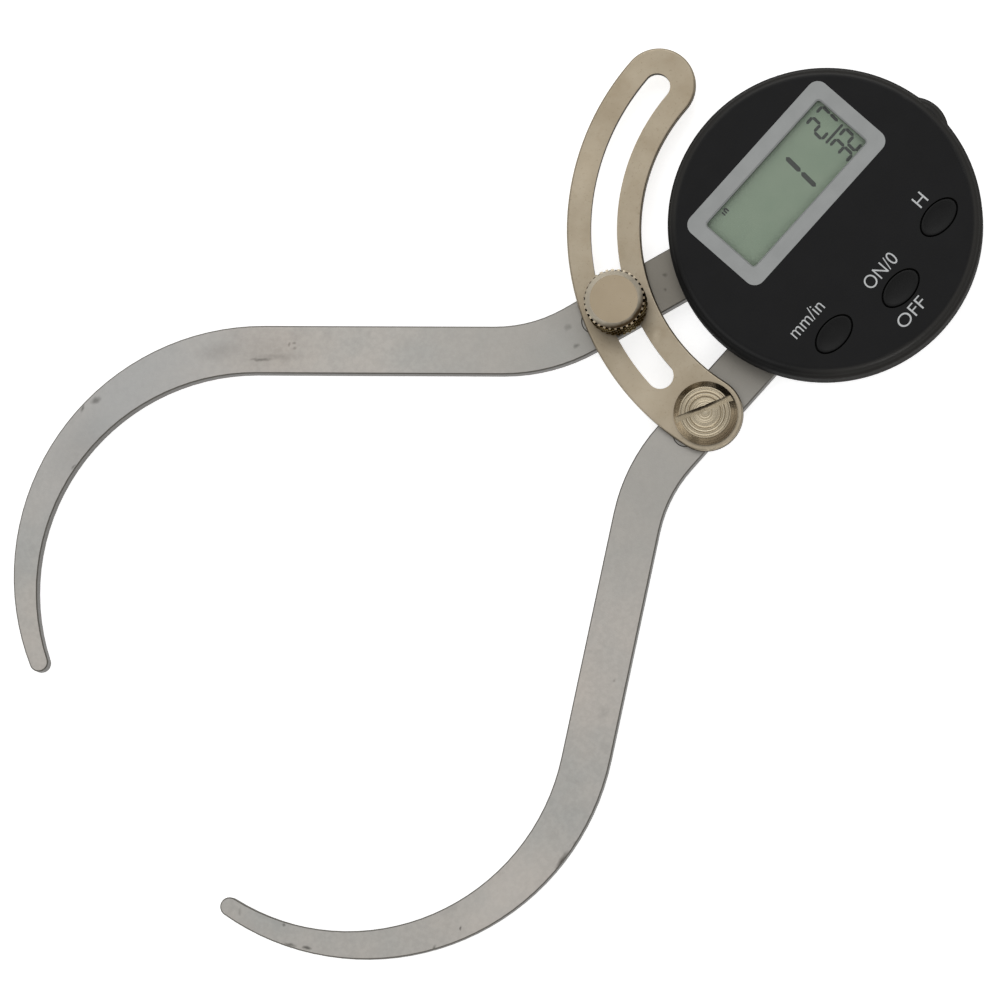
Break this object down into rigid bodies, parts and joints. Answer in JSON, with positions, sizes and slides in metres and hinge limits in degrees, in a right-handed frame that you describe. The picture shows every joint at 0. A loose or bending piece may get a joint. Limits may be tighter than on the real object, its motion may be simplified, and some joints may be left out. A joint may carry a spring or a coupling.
{
  "type": "digital outside caliper",
  "caption": "Flat-legged digital outside caliper: bowed steel legs, a slotted arc wing with a knurled thumb-screw clamp, and a round display head that reads the opening.",
  "frame": {"origin": "on the pivot axis, in the plane of the legs' undersides, on which the caliper lies", "axes": "+Z out of the display along the pivot axis, +X the display's reading direction with the fixed leg's tip on the -X side, +Y the display's up"},
  "size_m": [0.1695, 0.1063, 0.0123],
  "materials": {
    "leg_steel": "satin ground stainless steel",
    "wing_nickel": "nickel-plated steel, slightly warm",
    "screw_nickel": "nickel-plated turned brass, semi-bright",
    "screw_steel": "zinc-plated small screws",
    "bearing_bronze": "sintered bronze",
    "spring_steel": "hardened spring steel",
    "housing_black": "fine matte moulded ABS",
    "button_black": "satin moulded ABS",
    "bezel_grey": "printed grey frame",
    "lens_clear": "clear polished acrylic",
    "lcd_glass": "reflective liquid crystal panel",
    "zebra_strip": "layered conductive silicone",
    "board_green": "solder-masked glass-epoxy",
    "chip_black": "epoxy blob over the chip",
    "contact_metal": "tin-plated phosphor bronze",
    "rotor_plastic": "moulded acetal with plated pads",
    "cell_steel": "nickel-plated can"
  },
  "bodies": {
    "frame": {"fixed_leg": "leg_steel", "fixed_leg_pin": "leg_steel", "slotted_wing": "wing_nickel", "wing_screw": "screw_nickel", "pivot_bush": "bearing_bronze", "thrust_washer": "bearing_bronze", "rear_cover": "housing_black", "front_housing": "housing_black", "head_screws": "screw_steel", "housing_screws": "screw_steel", "board_screws": "screw_steel", "display_bezel": "bezel_grey", "display_lens": "lens_clear", "lcd_panel": "lcd_glass", "lcd_connectors": "zebra_strip", "circuit_board": "board_green", "controller_chip": "chip_black", "switch_domes": "contact_metal", "battery_contacts": "contact_metal"},
    "moving_arm": {"moving_leg": "leg_steel", "moving_leg_pin": "leg_steel", "pivot_shaft": "screw_steel", "encoder_rotor": "rotor_plastic", "disc_spring": "spring_steel", "retaining_clip": "spring_steel"},
    "clamp_ring": {"clamp_washer": "wing_nickel"},
    "thumb_knob": {"thumb_screw": "screw_nickel"},
    "units_key": {"units_button": "button_black"},
    "zero_key": {"zero_button": "button_black"},
    "hold_key": {"hold_button": "button_black"},
    "drawer": {"battery_drawer": "housing_black", "coin_cell": "cell_steel"}
  },
  "joints": [
    {"name": "leg_opening", "type": "hinge", "parent": "frame", "child": "moving_arm", "pos_m": [0, 0, 0], "axis": [0, 0, -1], "range_deg": [-18.7, 61]},
    {"name": "thumb_travel", "type": "slide", "parent": "moving_arm", "child": "clamp_ring", "axis": [0, 0, 1], "range_m": [0, 0.0014]},
    {"name": "thumb_turn", "type": "hinge", "parent": "clamp_ring", "child": "thumb_knob", "pos_m": [-0.03113, 0.01622, 0.005], "axis": [0, 0, 1], "range_deg": [0, 720]},
    {"name": "drawer_slide", "type": "slide", "parent": "frame", "child": "drawer", "axis": [1, 0, 0], "range_m": [0, 0.0145]},
    {"name": "units_press", "type": "slide", "parent": "frame", "child": "units_key", "axis": [0, 0, -1], "range_m": [0, 0.0004], "stiffness_N_per_m": 400, "springref_m": -0.0005},
    {"name": "zero_press", "type": "slide", "parent": "frame", "child": "zero_key", "axis": [0, 0, -1], "range_m": [0, 0.0004], "stiffness_N_per_m": 400, "springref_m": -0.0005},
    {"name": "hold_press", "type": "slide", "parent": "frame", "child": "hold_key", "axis": [0, 0, -1], "range_m": [0, 0.0004], "stiffness_N_per_m": 400, "springref_m": -0.0005}
  ],
  "couplings": [
    {"joint": "thumb_turn", "follows": "thumb_travel", "rad_per_m": 8975}
  ]
}
